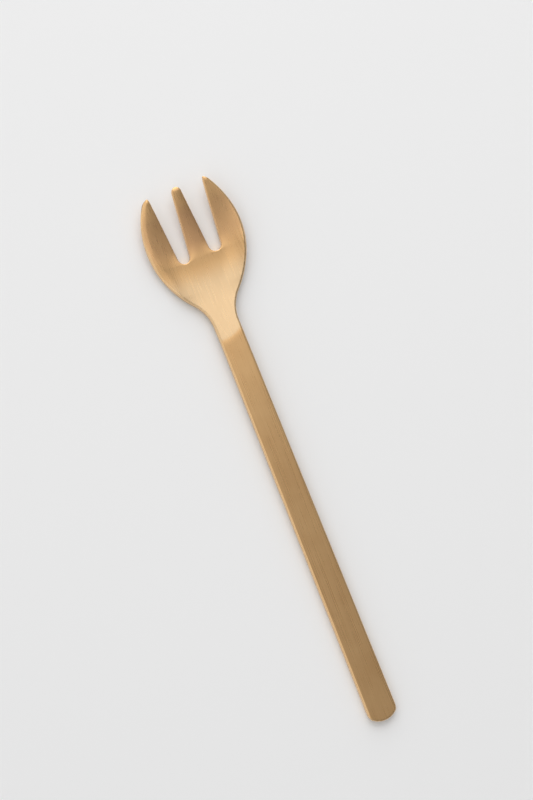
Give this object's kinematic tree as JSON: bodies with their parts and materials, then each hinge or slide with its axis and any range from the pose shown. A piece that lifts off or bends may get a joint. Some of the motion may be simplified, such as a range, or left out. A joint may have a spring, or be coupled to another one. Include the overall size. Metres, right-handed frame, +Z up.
{
  "type": "dessert fork",
  "caption": "Slim satin-brass dessert fork: a flat, tapered bar handle, a dipped neck and a shallow dished head that splits into tapered tines.",
  "frame": {"origin": "on the table, under the middle of the fork's length, as the fork lies with its hollow side up", "axes": "+X towards the tine tips, +Y to the fork's left seen from above, +Z up"},
  "size_m": [0.1402, 0.0248, 0.0045],
  "materials": {
    "brass": "satin, brushed lengthwise"
  },
  "bodies": {
    "root": {"handle": "brass", "neck": "brass", "bowl": "brass", "left_tine": "brass", "middle_tine": "brass", "right_tine": "brass"}
  },
  "joints": []
}
